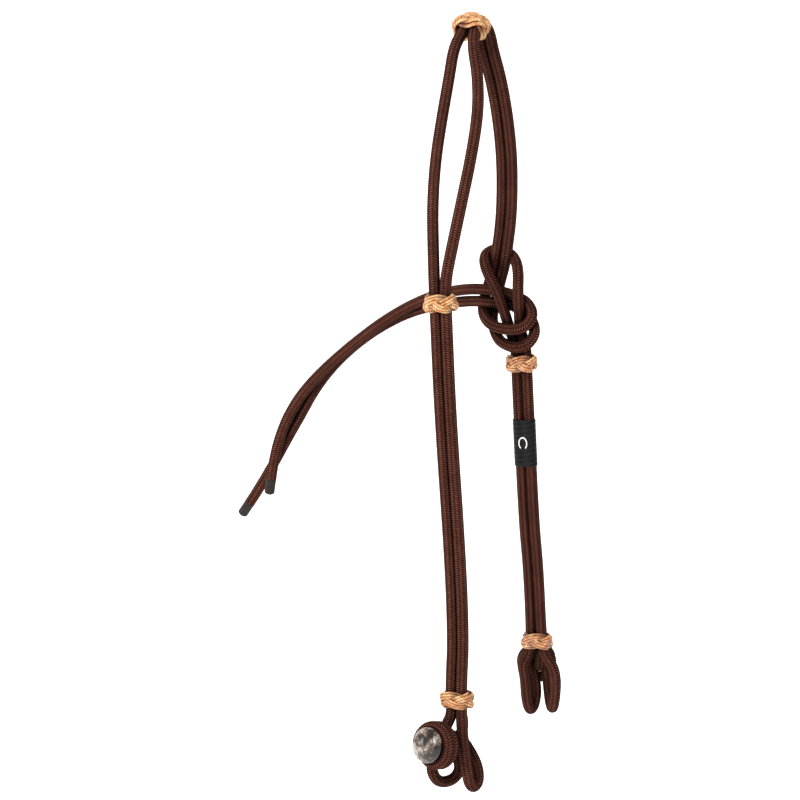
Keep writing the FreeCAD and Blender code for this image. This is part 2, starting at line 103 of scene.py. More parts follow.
# Near cheek, from the front of the ear slot, round the bit loop and back up its rear.
NEAR_ROUTE = [
    (-0.0068, -0.0190, -0.0055), (-0.0083, -0.0240, -0.0210), (-0.0098, -0.0325, -0.0405),
    (-0.0103, -0.0460, -0.0660), (-0.0089, -0.0575, -0.0915), (-0.0058, -0.0670, -0.1160),
    (-0.0046, -0.0710, -0.1340), (-0.0048, -0.0710, -0.1520), (-0.0054, -0.0710, -0.2100),
    (-0.0038, -0.0710, -0.2960), (-0.0046, -0.0710, -0.3440), (-0.0068, -0.0710, -0.3660),
    (-0.0077, -0.0710, -0.3780),
    (-0.0077, -0.0710, -0.3900), (-0.0122, -0.0710, -0.3980), (-0.0208, -0.0700, -0.4155),
    (-0.0246, -0.0680, -0.4270), (-0.0220, -0.0640, -0.4365), (-0.0148, -0.0568, -0.4365),
    (-0.0104, -0.0548, -0.4285), (-0.0136, -0.0570, -0.4180), (-0.0186, -0.0592, -0.4085),
    (-0.0095, -0.0576, -0.4080), (-0.0042, -0.0560, -0.4165), (0.0004, -0.0548, -0.4275),
    (0.0012, -0.0572, -0.4370), (-0.0002, -0.0662, -0.4370), (-0.0008, -0.0700, -0.4250),
    (-0.0016, -0.0710, -0.4070), (-0.0018, -0.0710, -0.3905),
    (-0.0011, -0.0710, -0.3780), (-0.0002, -0.0710, -0.3660), (0.0020, -0.0710, -0.3440),
    (0.0028, -0.0710, -0.2960), (0.0012, -0.0710, -0.2100), (0.0018, -0.0710, -0.1520),
    (0.0020, -0.0710, -0.1340), (0.0050, -0.0670, -0.1170),
    (0.0086, -0.0575, -0.0915), (0.0116, -0.0455, -0.0650), (0.0121, -0.0330, -0.0410),
    (0.0093, -0.0240, -0.0210), (0.0052, -0.0190, -0.0055),
]

# Down the left of the crown, round the upper ring of the sheet bend and along its tail.
UPPER_TAIL_ROUTE = [
    (-0.0018, 0.0248, -0.0270), (-0.0014, 0.0318, -0.0500), (-0.0020, 0.0368, -0.0740),
    (-0.0039, 0.0394, -0.0970), (-0.0057, 0.0398, -0.1130), (-0.0084, 0.0402, -0.1275),
    (-0.0138, 0.0454, -0.1410), (-0.0190, 0.0484, -0.1535), (-0.0230, 0.0484, -0.1640),
    (-0.0215, 0.0428, -0.1705), (-0.0160, 0.0364, -0.1750), (-0.0096, 0.0336, -0.1776),
    (-0.0012, 0.0330, -0.1790), (0.0064, 0.0338, -0.1784), (0.0112, 0.0364, -0.1750),
    (0.0125, 0.0396, -0.1696), (0.0090, 0.0416, -0.1640), (0.0034, 0.0416, -0.1603),
    (-0.0072, 0.0406, -0.1565), (-0.0238, 0.0400, -0.1547), (-0.0385, 0.0392, -0.1560),
    (-0.0530, 0.0382, -0.1594), (-0.0695, 0.0374, -0.1662), (-0.0865, 0.0370, -0.1756),
    (-0.1040, 0.0370, -0.1874), (-0.1205, 0.0370, -0.1998), (-0.1355, 0.0370, -0.2124),
    (-0.1485, 0.0370, -0.2258), (-0.1582, 0.0370, -0.2400), (-0.1650, 0.0370, -0.2546),
    (-0.1694, 0.0370, -0.2686), (-0.1720, 0.0370, -0.2796), (-0.1742, 0.0370, -0.2903),
]

# Down the right of the crown, round the lower ring of the sheet bend and along its tail.
LOWER_TAIL_ROUTE = [
    (0.0046, 0.0250, -0.0270), (0.0050, 0.0320, -0.0500), (0.0044, 0.0372, -0.0740),
    (0.0025, 0.0398, -0.0970), (0.0008, 0.0400, -0.1130), (-0.0015, 0.0396, -0.1260),
    (-0.0034, 0.0406, -0.1344), (-0.0078, 0.0466, -0.1432), (-0.0124, 0.0500, -0.1530),
    (-0.0155, 0.0510, -0.1636), (-0.0182, 0.0488, -0.1734), (-0.0143, 0.0422, -0.1810),
    (-0.0094, 0.0364, -0.1860), (-0.0036, 0.0344, -0.1888), (0.0028, 0.0342, -0.1904),
    (0.0092, 0.0360, -0.1888), (0.0127, 0.0398, -0.1836), (0.0114, 0.0442, -0.1780),
    (0.0066, 0.0470, -0.1714), (-0.0018, 0.0442, -0.1656), (-0.0130, 0.0420, -0.1634),
    (-0.0265, 0.0410, -0.1625), (-0.0405, 0.0414, -0.1638), (-0.0560, 0.0426, -0.1665),
    (-0.0720, 0.0438, -0.1710), (-0.0880, 0.0448, -0.1782), (-0.1040, 0.0450, -0.1876),
    (-0.1185, 0.0450, -0.1986), (-0.1310, 0.0450, -0.2104), (-0.1420, 0.0450, -0.2236),
    (-0.1510, 0.0450, -0.2376), (-0.1604, 0.0450, -0.2514), (-0.1696, 0.0450, -0.2656),
    (-0.1782, 0.0450, -0.2784), (-0.1862, 0.0450, -0.2896), (-0.1928, 0.0450, -0.2984),
    (-0.1996, 0.0450, -0.3071),
]

# Far cheek, a closed loop whose ends butt together under the sleeve.
FAR_ROUTE = [
    (-0.0003, 0.0410, -0.2505), (-0.0003, 0.0410, -0.2020), (-0.0003, 0.0410, -0.1900),
    (-0.0040, 0.0408, -0.1786), (-0.0056, 0.0368, -0.1664), (-0.0078, 0.0334, -0.1552),
    (-0.0118, 0.0326, -0.1466), (-0.0160, 0.0358, -0.1395), (-0.0186, 0.0432, -0.1344),
    (-0.0150, 0.0470, -0.1318), (-0.0092, 0.0482, -0.1320), (-0.0032, 0.0474, -0.1344),
    (0.0024, 0.0416, -0.1378), (0.0057, 0.0358, -0.1438), (0.0061, 0.0330, -0.1522),
    (0.0052, 0.0342, -0.1612), (0.0038, 0.0392, -0.1700), (0.0026, 0.0414, -0.1796),
    (0.0063, 0.0410, -0.1900),
    (0.0063, 0.0410, -0.2020), (0.0063, 0.0410, -0.3000), (0.0079, 0.0410, -0.3300),
    (0.0079, 0.0410, -0.3760), (0.0094, 0.0410, -0.3870),
    (0.0152, 0.0400, -0.3932), (0.0168, 0.0398, -0.4020), (0.0152, 0.0410, -0.4136),
    (0.0122, 0.0442, -0.4230), (0.0084, 0.0504, -0.4224), (0.0068, 0.0524, -0.4134),
    (0.0060, 0.0534, -0.4040), (0.0055, 0.0534, -0.3910), (-0.0055, 0.0534, -0.3910),
    (-0.0030, 0.0534, -0.4040), (-0.0012, 0.0524, -0.4146), (-0.0028, 0.0504, -0.4246),
    (-0.0036, 0.0440, -0.4250), (-0.0042, 0.0410, -0.4156), (-0.0038, 0.0398, -0.4020),
    (-0.0056, 0.0400, -0.3930), (-0.0010, 0.0410, -0.3868), (0.0013, 0.0410, -0.3760),
    (0.0013, 0.0410, -0.3300),
    (-0.0003, 0.0410, -0.3000), (-0.0003, 0.0410, -0.2505),
]

# The stalks of the buttons, from behind the rope pairs to the buttons' backs.
NEAR_STALK_ROUTE = [
    (-0.0044, -0.0653, -0.3520), (-0.0044, -0.0653, -0.3780), (-0.0044, -0.0653, -0.3905),
    (-0.0046, -0.0625, -0.3960), (-0.0044, -0.0645, -0.4025), (-0.0075, -0.0665, -0.4090),
    (-0.0105, -0.0700, -0.4110), (-0.0103, -0.0754, -0.4109), (-0.0113, -0.0818, -0.4079),
]
FAR_STALK_ROUTE = [
    (0.0046, 0.0467, -0.3500), (0.0046, 0.0467, -0.3780), (0.0046, 0.0467, -0.3905),
    (0.0030, 0.0505, -0.3970), (-0.0018, 0.0575, -0.3990), (-0.0046, 0.0625, -0.4000),
]


def crown_points(x, near_spread=0.0):
    """Control points of one rope over the crown, from the near side to the far side."""
    reach = CROWN_RADIUS / math.cos(math.radians(9))
    angles = [math.radians(angle) for angle in (-45, -27, -9, 9, 27, 45, 63)]
    arc = [(x + near_spread * max(-math.sin(a), 0), reach * math.sin(a),
            CROWN_CENTRE + reach * math.cos(a)) for a in angles]
    lean = math.radians(69)
    after = (x, CROWN_RADIUS * math.sin(lean) + 0.005 * math.cos(lean),
             CROWN_CENTRE + CROWN_RADIUS * math.cos(lean) - 0.005 * math.sin(lean))
    return arc + [after]


# The crown rope is one rope, from the tip of one tail to the tip of the other.
CROWN_ROUTE = (
    LOWER_TAIL_ROUTE[::-1] + crown_points(HALF)[::-1] + NEAR_ROUTE[::-1]
    + crown_points(-HALF, -0.0020) + UPPER_TAIL_ROUTE
)


# ---------------------------------------------------------------- braided rope

COLUMNS = 8          # columns of yarn crowns round the rope, leaning left and right in turn
YARNS = 7            # yarns each way
LAY = 0.0096         # one turn of a yarn
SEGMENTS = 64
RING = 0.00027
GROOVE = 0.00042     # depth between the yarns
WEAVE = 0.00016      # rise of the yarn that passes on top


def spline_line(points):
    """The smooth line of a route: a quadratic NURBS spline with the points as its controls."""
    curve = bpy.data.curves.new("route", "CURVE")
    curve.dimensions = "3D"
    spline = curve.splines.new("NURBS")
    spline.points.add(len(points) - 1)
    for point, place in zip(spline.points, points):
        point.co = (*place, 1)
    spline.order_u = 3
    spline.use_endpoint_u = True
    spline.resolution_u = 16
    holder = bpy.data.objects.new("route", curve)
    mesh = bpy.data.meshes.new_from_object(holder)
    line = np.empty(len(mesh.vertices) * 3)
    mesh.vertices.foreach_get("co", line)
    bpy.data.objects.remove(holder)
    bpy.data.curves.remove(curve)
    bpy.data.meshes.remove(mesh)
    return line.reshape(-1, 3)


def even_line(line, spacing):
    """A line resampled to even spacing, with its distances along."""
    steps = np.linalg.norm(np.diff(line, axis=0), axis=1)
    line = line[np.concatenate([[True], steps > 1e-9])]
    along = np.concatenate([[0], np.cumsum(np.linalg.norm(np.diff(line, axis=0), axis=1))])
    count = int(round(along[-1] / spacing)) + 1
    places = np.linspace(0, along[-1], count)
    return np.column_stack([np.interp(places, along, line[:, k]) for k in range(3)]), places


def line_frames(line, start=(0.0, -1.0, 0.2)):
    """Unit tangents and two unit sideways directions that turn as little as they can."""
    ahead = np.gradient(line, axis=0)
    ahead /= np.linalg.norm(ahead, axis=1)[:, None]
    side = np.empty_like(line)
    first = np.array(start) - np.dot(start, ahead[0]) * ahead[0]
    side[0] = first / np.linalg.norm(first)
    for i in range(1, len(line)):
        moved = side[i - 1] - np.dot(side[i - 1], ahead[i]) * ahead[i]
        side[i] = moved / np.linalg.norm(moved)
    return ahead, side, np.cross(ahead, side)


def braid(angle, along):
    """Height over the rope's core circle, and the yarn coordinates, of a two-over two-under braid."""
    lean = 2 * math.pi * along / LAY
    across_z = (angle - lean) * YARNS / (2 * math.pi)
    across_s = (angle + lean) * YARNS / (2 * math.pi)
    off_z = across_z - np.round(across_z)
    off_s = across_s - np.round(across_s)
    crown_z = np.sqrt(np.clip(1 - (2 * off_z) ** 2 * 0.97, 0, 1))
    crown_s = np.sqrt(np.clip(1 - (2 * off_s) ** 2 * 0.97, 0, 1))
    column = np.clip(1.9 * np.sin(COLUMNS / 2 * angle), -1, 1)
    high_z = GROOVE * crown_z + WEAVE * column
    high_s = GROOVE * crown_s - WEAVE * column
    on_top = high_z >= high_s
    height = np.where(on_top, high_z, high_s)
    yarn = np.where(on_top, np.round(across_z) * 0.37, np.round(across_s) * 0.53 + 0.5)
    fibre = np.where(on_top, off_z, off_s)
    # crown is the mask for the painted highlight on yarn crowns and the painted shade between yarns and
    # columns.
    crown = np.clip(1 - (2 * fibre) ** 2, 0, 1) * (0.72 + 0.28 * np.abs(np.sin(COLUMNS / 2 * angle)))
    return height, yarn, fibre, crown


def grid_mesh(name, points, normals, closed_round=True, values=None):
    """A mesh from rings of points, with its own smooth normals and named values per point."""
    rings, around = points.shape[:2]
    mesh = bpy.data.meshes.new(name)
    mesh.vertices.add(rings * around)
    mesh.vertices.foreach_set("co", points.reshape(-1).astype(np.float32))
    row = np.arange(rings - 1)[:, None] * around
    here = np.arange(around if closed_round else around - 1)[None, :]
    there = (here + 1) % around
    corners = np.stack([row + here, row + there, row + around + there, row + around + here], axis=-1)
    corners = corners.reshape(-1, 4)
    mesh.loops.add(corners.size)
    mesh.loops.foreach_set("vertex_index", corners.reshape(-1).astype(np.int32))
    mesh.polygons.add(len(corners))
    mesh.polygons.foreach_set("loop_start", (np.arange(len(corners)) * 4).astype(np.int32))
    mesh.polygons.foreach_set("use_smooth", np.ones(len(corners), bool))
    for key, data in (values or {}).items():
        layer = mesh.attributes.new(key, "FLOAT", "POINT")
        layer.data.foreach_set("value", data.reshape(-1).astype(np.float32))
    mesh.update(calc_edges=True)
    if normals is not None:
        mesh.normals_split_custom_set_from_vertices(normals.reshape(-1, 3))
    return mesh


def grid_normals(points):
    """Outward normals of rings of points, from their neighbours."""
    round_step = np.roll(points, -1, axis=1) - np.roll(points, 1, axis=1)
    along_step = np.gradient(points, axis=0)
    normals = np.cross(round_step, along_step)
    return normals / np.maximum(np.linalg.norm(normals, axis=2), 1e-12)[:, :, None]


def new_piece(name, mesh, material):
    piece = bpy.data.objects.new(name, mesh)
    bpy.context.scene.collection.objects.link(piece)
    mesh.materials.append(material)
    return piece


class Rope:
    """One continuous braided rope along a route, from which pieces are cut."""

    def __init__(self, route, start=(0.0, -1.0, 0.2), phase=0.0):
        self.line, self.along = even_line(spline_line(route), RING)
        self.ahead, self.side, self.other = line_frames(self.line, start)
        self.phase = phase

    def place(self, point, after=0.0):
        """Distance along the rope of its nearest point to a given one, past a given distance."""
        gaps = np.linalg.norm(self.line - np.array(point), axis=1)
        gaps[self.along < after] = 1.0
        return self.along[int(gaps.argmin())]

    def surface(self, first, last, swell=None):
        """Rings of surface points between two distances, with their yarn values."""
        keep = (self.along >= first - 2.5 * RING) & (self.along <= last + 2.5 * RING)
        along = self.along[keep]
        angle = np.arange(SEGMENTS) * 2 * math.pi / SEGMENTS
        round_grid, along_grid = np.meshgrid(angle + self.phase, along)
        height, yarn, fibre, crown = braid(round_grid, along_grid)
        radius = ROPE / 2 + 0.00020 - GROOVE - WEAVE * 0.6 + height
        if swell is not None:
            radius = swell(radius, along_grid - first, last - along_grid)
        outward = (np.cos(angle)[None, :, None] * self.side[keep][:, None, :]
                   + np.sin(angle)[None, :, None] * self.other[keep][:, None, :])
        points = self.line[keep][:, None, :] + radius[:, :, None] * outward
        return points, along, {"yarn": yarn, "fibre": fibre, "crown": crown}

    def piece(self, name, first, last, material, slot="rope", swell=None):
        points, along, values = self.surface(first, last, swell)
        normals = grid_normals(points)
        inside = (along >= first - 0.5 * RING) & (along <= last + 0.5 * RING)
        values = {key: data[inside] for key, data in values.items()}
        mesh = grid_mesh(name, points[inside], normals[inside], values=values)
        return new_piece(name, mesh, material)

# ---------------------------------------------------------------- materials


class Nodes:
    """A short way to build a material's node tree."""

    def __init__(self, name, roughness=0.5, specular=0.5):
        self.material = bpy.data.materials.new(name)
        self.material.use_nodes = True
        self.tree = self.material.node_tree
        self.shader = self.tree.nodes["Principled BSDF"]
        self.shader.inputs["Roughness"].default_value = roughness
        self.shader.inputs["Specular IOR Level"].default_value = specular

    def add(self, kind, settings=(), **inputs):
        node = self.tree.nodes.new(kind)
        for key, value in dict(settings).items():
            setattr(node, key, value)
        for key, value in inputs.items():
            numbered = key[0] == "_" and key[1:].isdigit()
            socket = node.inputs[int(key[1:]) if numbered else key]
            if isinstance(value, bpy.types.NodeSocket):
                self.tree.links.new(value, socket)
            else:
                socket.default_value = value
        return node

    def link(self, output, name):
        self.tree.links.new(output, self.shader.inputs[name])

    def attribute(self, name):
        return self.add("ShaderNodeAttribute", {"attribute_name": name}).outputs["Fac"]

    def place(self):
        return self.add("ShaderNodeTexCoord").outputs["Object"]

    def noise(self, vector, scale, detail=3.0, roughness=0.55):
        return self.add("ShaderNodeTexNoise", Vector=vector, Scale=scale, Detail=detail,
                        Roughness=roughness).outputs["Fac"]

    def ramp(self, value, *stops):
        node = self.add("ShaderNodeValToRGB", Fac=value)
        while len(node.color_ramp.elements) < len(stops):
            node.color_ramp.elements.new(0.5)
        for element, (position, colour) in zip(node.color_ramp.elements, stops):
            element.position = position
            element.color = (*colour, 1)
        return node.outputs["Color"]

    def math(self, operation, a, b=0.0, clamp=False):
        node = self.add("ShaderNodeMath", {"operation": operation, "use_clamp": clamp}, _0=a, _1=b)
        return node.outputs[0]

    def mix(self, factor, a, b, blend="MIX"):
        node = self.add("ShaderNodeMix", {"data_type": "RGBA", "blend_type": blend})
        for index, value in ((0, factor), (6, a), (7, b)):
            if isinstance(value, bpy.types.NodeSocket):
                self.tree.links.new(value, node.inputs[index])
            elif index == 0:
                node.inputs[0].default_value = value
            else:
                node.inputs[index].default_value = (*value, 1)
        return node.outputs[2]

    def painted_crevice_shade(self, distance, least):
        """Painted shade: a grey that falls to least where other surfaces are near."""
        shade = self.add("ShaderNodeAmbientOcclusion", {"samples": 6}, Distance=distance)
        return self.ramp(shade.outputs["AO"], (0.22, (least,) * 3), (0.80, (1.0, 1.0, 1.0)))

    def bump(self, height, strength, distance):
        node = self.add("ShaderNodeBump", Height=height, Strength=strength, Distance=distance)
        self.link(node.outputs["Normal"], "Normal")


def rope_material():
    """Braided polyester: dark red-brown yarns, with a painted highlight on their crowns, painted shade
    to nearly black between them, and painted shade where other surfaces are near.
    """
    nodes = Nodes("rope", roughness=0.7, specular=0.02)
    crown = nodes.attribute("crown")
    # Painted highlight on the yarn crowns and painted shade to near black in the grooves between yarns
    # and columns.
    colour = nodes.ramp(crown, (0.12, (0.0012, 0.0005, 0.0004)), (0.46, (0.0105, 0.0030, 0.0020)),
                        (0.76, (0.044, 0.0138, 0.0093)), (1.0, (0.150, 0.0600, 0.0410)))
    fleck = nodes.add("ShaderNodeTexWhiteNoise", {"noise_dimensions": "1D"},
                      W=nodes.attribute("yarn")).outputs["Value"]
    shade = nodes.ramp(fleck, (0.0, (0.80, 0.78, 0.78)), (1.0, (1.18, 1.2, 1.2)))
    colour = nodes.mix(1.0, colour, shade, "MULTIPLY")
    cloud = nodes.noise(nodes.place(), 60.0, 4.0)
    shade = nodes.ramp(cloud, (0.3, (0.80, 0.78, 0.78)), (0.7, (1.12, 1.1, 1.08)))
    colour = nodes.mix(1.0, colour, shade, "MULTIPLY")
    # Painted shade: the base colour is darkened where other surfaces are near.
    nodes.link(nodes.mix(1.0, colour, nodes.painted_crevice_shade(0.014, 0.07), "MULTIPLY"), "Base Color")
    threads = nodes.math("SINE", nodes.math("MULTIPLY", nodes.attribute("fibre"), 34.0))
    fuzz = nodes.noise(nodes.place(), 5200.0, 2.0)
    nodes.bump(nodes.math("ADD", nodes.math("MULTIPLY", threads, 0.5), fuzz), 0.35, 0.00006)
    return nodes.material


def cord_material(name, gloss):
    """Waxed tan cord, with painted shade in the grooves between plies, where a cord dips under a
    crossing, and where other surfaces are near; the glossy one is sealed with a clear coat.
    """
    nodes = Nodes(name, roughness=0.45 if gloss else 0.6, specular=0.3)
    cloud = nodes.noise(nodes.place(), 330.0, 4.0, 0.65)
    if gloss:
        warm = nodes.ramp(cloud, (0.36, (0.26, 0.070, 0.017)), (0.50, (0.46, 0.165, 0.042)),
                          (0.64, (0.72, 0.42, 0.17)))
    else:
        warm = nodes.ramp(cloud, (0.36, (0.33, 0.115, 0.034)), (0.48, (0.50, 0.245, 0.095)),
                          (0.64, (0.70, 0.47, 0.25)))
    ply = nodes.attribute("ply")
    # Painted shade: darker in the grooves between the plies.
    colour = nodes.mix(nodes.math("MULTIPLY", ply, 0.60), warm, (0.17, 0.050, 0.012))
    # Painted shade where the cord dips under its crossing leads.
    colour = nodes.mix(nodes.math("MULTIPLY", nodes.attribute("painted_under_shade"), 0.85), colour,
                       (0.050, 0.014, 0.005))
    # Painted shade: the colour falls to dark brown where other surfaces are near.
    painted_shade_openness = nodes.painted_crevice_shade(0.0035, 0.0)
    nodes.link(nodes.mix(painted_shade_openness, (0.085, 0.021, 0.006), colour), "Base Color")
    grain = nodes.noise(nodes.place(), 4200.0, 2.0)
    nodes.bump(grain, 0.3, 0.00008)
    if gloss:
        nodes.shader.inputs["Coat Weight"].default_value = 0.9
        nodes.shader.inputs["Coat Roughness"].default_value = 0.12
    return nodes.material


def stone_material():
    """Polished banded stone: grey-white with brown and black inclusions."""
    nodes = Nodes("stone", roughness=0.32, specular=0.35)
    place = nodes.place()
    body = nodes.noise(place, 120.0, 5.0, 0.62)
    colour = nodes.ramp(body, (0.40, (0.006, 0.005, 0.004)), (0.46, (0.036, 0.021, 0.014)),
                        (0.51, (0.120, 0.092, 0.074)), (0.57, (0.33, 0.27, 0.215)),
                        (0.66, (0.125, 0.076, 0.048)))
    specks = nodes.noise(place, 430.0, 4.0, 0.65)
    dark = nodes.ramp(specks, (0.40, (0.12, 0.10, 0.09)), (0.54, (1.0, 1.0, 1.0)))
    nodes.link(nodes.mix(0.8, colour, dark, "MULTIPLY"), "Base Color")
    nodes.bump(body, 0.10, 0.0003)
    nodes.shader.inputs["Coat Weight"].default_value = 0.15
    nodes.shader.inputs["Coat Roughness"].default_value = 0.08
    return nodes.material


def sleeve_material():
    """Black shrink tube, satin, with faint scuffs."""
    nodes = Nodes("sleeve", roughness=0.34, specular=0.14)
    scuff = nodes.noise(nodes.place(), 700.0, 5.0, 0.7)
    nodes.link(nodes.ramp(scuff, (0.35, (0.0016, 0.0016, 0.0019)), (0.75, (0.0045, 0.0045, 0.0052))),
               "Base Color")
    nodes.bump(scuff, 0.15, 0.00008)
    return nodes.material


def dip_material():
    """Rubbery dip on the rope ends, with the braid just showing through."""
    nodes = Nodes("dip", roughness=0.5, specular=0.15)
    cloud = nodes.noise(nodes.place(), 420.0, 4.0)
    nodes.link(nodes.ramp(cloud, (0.3, (0.0060, 0.0042, 0.0032)), (0.75, (0.020, 0.014, 0.0105))),
               "Base Color")
    nodes.bump(cloud, 0.35, 0.0002)
    return nodes.material


def plain_material(name, colour, roughness, grain):
    """A hidden or minor surface with a little grain."""
    nodes = Nodes(name, roughness=roughness)
    cloud = nodes.noise(nodes.place(), grain, 4.0)
    darker = tuple(0.7 * c for c in colour)
    nodes.link(nodes.ramp(cloud, (0.3, darker), (0.75, colour)), "Base Color")
    nodes.bump(cloud, 0.2, 0.0002)
    return nodes.material


rope_look = rope_material()
matte_cord = cord_material("knot_cord_waxed", gloss=False)
glossy_cord = cord_material("knot_cord_sealed", gloss=True)
stone_look = stone_material()
sleeve_look = sleeve_material()
dip_look = dip_material()
print_look = plain_material("print", (0.72, 0.70, 0.66), 0.5, 900.0)
whipping_look = plain_material("whipping", (0.45, 0.38, 0.28), 0.7, 1500.0)
core_look = plain_material("core", (0.30, 0.19, 0.11), 0.6, 300.0)

# ---------------------------------------------------------------- ropes

crown_rope = Rope(CROWN_ROUTE)
far_rope = Rope(FAR_ROUTE)
near_stalk_rope = Rope(NEAR_STALK_ROUTE, phase=0.2)
far_stalk_rope = Rope(FAR_STALK_ROUTE, phase=0.2)


def dipped(radius, since, left):
    """The dip fills the braid, stands a little proud and rounds the rope's end."""
    lip = 0.00012 * np.exp(-((since - 0.0008) / 0.0007) ** 2)
    coated = radius + 0.7 * (ROPE / 2 + 0.0001 - radius) + lip
    end = np.clip(left / 0.0020, 0, 1)
    return coated * np.sqrt(np.clip(1 - (1 - end) ** 2, 1e-6, 1))


def cut_rope(rope, cuts, names):
    """Cuts a rope at the places nearest to the given points, into named pieces."""
    places = [0.0]
    for cut in cuts:
        places.append(rope.place(cut, places[-1]))
    places.append(rope.along[-1])
    spans = {}
    for name, first, last in zip(names, places, places[1:]):
        if name:
            spans[name] = (first, last)
    return spans


UPPER_EXIT = (-0.0450, 0.0387, -0.1572)
LOWER_EXIT = (-0.0450, 0.0418, -0.1657)
crown_spans = cut_rope(
    crown_rope,
    [(-0.1928, 0.0450, -0.2984), LOWER_EXIT, (-0.0250, 0.0410, -0.1641),
     (0.0035, 0.0240, -0.0240), (HALF, 0.0149, -0.0034), (HALF, -0.0103, 0.0032),
     (0.0066, -0.0215, -0.0130),
     (-0.0011, -0.0710, -0.3872), (-0.0014, -0.0710, -0.3990), (-0.0120, -0.0710, -0.3975),
     (-0.0077, -0.0710, -0.3872), (-0.0066, -0.0215, -0.0130), (-HALF, -0.0103, 0.0032),
     (-HALF, 0.0149, -0.0034), (-0.0031, 0.0240, -0.0240), (-0.0250, 0.0400, -0.1543),
     UPPER_EXIT, (-0.1720, 0.0370, -0.2796)],
    ["lower_tail_tip", "lower_tail", "lower_tail_bend", "right_crown_strand", "right_crown_bend",
     "crown_rope_rear", "rear_ear_bend", "rear_cheek_strand", "near_neck_right", "near_bit_loop",
     "near_neck_left", "front_cheek_strand", "front_ear_bend", "crown_rope_front",
     "left_crown_bend", "left_crown_strand", "upper_tail_bend", "upper_tail", "upper_tail_tip"],
)
far_spans = cut_rope(
    far_rope,
    [(0.0079, 0.0410, -0.3840), (0.0145, 0.0402, -0.3922), (-0.0050, 0.0402, -0.3922),
     (0.0013, 0.0410, -0.3840)],
    ["far_cheek_bight", "far_neck_right", "far_bit_loop", "far_neck_left", "far_cheek_leg"],
)
near_stalk_spans = cut_rope(
    near_stalk_rope, [(-0.0044, -0.0653, -0.3872), (-0.0080, -0.0568, -0.3958)],
    ["near_stalk_end", "near_stalk_bend", "near_stalk"],
)
far_stalk_spans = cut_rope(
    far_stalk_rope, [(0.0046, 0.0467, -0.3840), (0.0034, 0.0468, -0.3960)],
    ["far_stalk_end", "far_stalk_bend", "far_stalk"],
)

node_body = {node: body for body, nodes in frame["record"]["behaviour"]["bodies"].items()
             for node in nodes}
bends = {
    "front_ear_bend": ("crown", "near_side"), "rear_ear_bend": ("crown", "near_side"),
    "left_crown_bend": ("crown", "far_side"), "right_crown_bend": ("crown", "far_side"),
    "near_neck_left": ("near_side", "near_bit_end"), "near_neck_right": ("near_side", "near_bit_end"),
    "near_stalk_bend": ("near_side", "near_bit_end"),
    "far_neck_left": ("far_side", "far_bit_end"), "far_neck_right": ("far_side", "far_bit_end"),
    "far_stalk_bend": ("far_side", "far_bit_end"),
}
for rope, spans in ((crown_rope, crown_spans), (far_rope, far_spans),
                    (near_stalk_rope, near_stalk_spans), (far_stalk_rope, far_stalk_spans)):
    for node, (first, last) in spans.items():
        if node.endswith("_tip"):
            flip = node == "lower_tail_tip"
            swell = (lambda radius, since, left: dipped(radius, left, since)) if flip else dipped
            piece = rope.piece(node + "_dip", first, last, dip_look, "dip", swell)
        else:
            piece = rope.piece(node + "_rope", first, last, rope_look)
        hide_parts(node)
        if node in bends:
            ends = [rope.line[int(np.searchsorted(rope.along, place))] for place in (first, last)]
            ends.sort(key=lambda end: -end[2])
            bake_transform(piece)
        else:
            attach(piece, node_body[node])

# ---------------------------------------------------------------- ring knots

CORD = 0.00165       # cord of the ring knots, laid three abreast
PAIR = [(-HALF, 0.0), (HALF, 0.0)]
PAIR_AND_STALK = PAIR + [(0.0016, 0.0052), (-0.0016, 0.0052)]


def hull_outline(centres, radius, count=720):
    """Points on the rail through rope centres and outward normals, evenly spaced at a radius."""
    sides = []
    number = len(centres)
    for i in range(number):
        a, b = np.array(centres[i]), np.array(centres[(i + 1) % number])
        way = (b - a) / np.linalg.norm(b - a)
        sides.append((a, b, math.atan2(-way[0], way[1])))
    rail, normals = [], []
    for i, (a, b, lean) in enumerate(sides):
        out = (math.cos(lean), math.sin(lean))
        for share in np.linspace(0, 1, 40, endpoint=False):
            rail.append(a + share * (b - a))
            normals.append(out)
        turn = (sides[(i + 1) % number][2] - lean) % (2 * math.pi)
        for share in np.linspace(0, 1, 60, endpoint=False):
            rail.append(b)
            normals.append((math.cos(lean + share * turn), math.sin(lean + share * turn)))
    rail, normals = np.array(rail), np.array(normals)
    ring = np.vstack([rail + radius * normals, (rail + radius * normals)[:1]])
    along = np.concatenate([[0], np.cumsum(np.linalg.norm(np.diff(ring, axis=0), axis=1))])
    places = np.linspace(0, along[-1], count, endpoint=False)
    rail, normals = np.vstack([rail, rail[:1]]), np.vstack([normals, normals[:1]])
    pick = [np.column_stack([np.interp(places, along, table[:, k]) for k in (0, 1)])
            for table in (rail, normals)]
    return pick[0], pick[1]


def straight_map(centre, slant=0.0):
    """Local knot coordinates to the frame, for ropes that run straight down."""
    return lambda x, y, z: np.stack([centre[0] + x, centre[1] + y, centre[2] + z - slant * y], axis=-1)


def crown_map(middle):
    """Local knot coordinates to the frame along the crown arc, round an angle in degrees."""
    def bend(x, y, z):
        angle = math.radians(middle) + z / CROWN_RADIUS
        reach = CROWN_RADIUS + y
        return np.stack([x, reach * np.sin(angle), CROWN_CENTRE + reach * np.cos(angle)], axis=-1)
    return bend


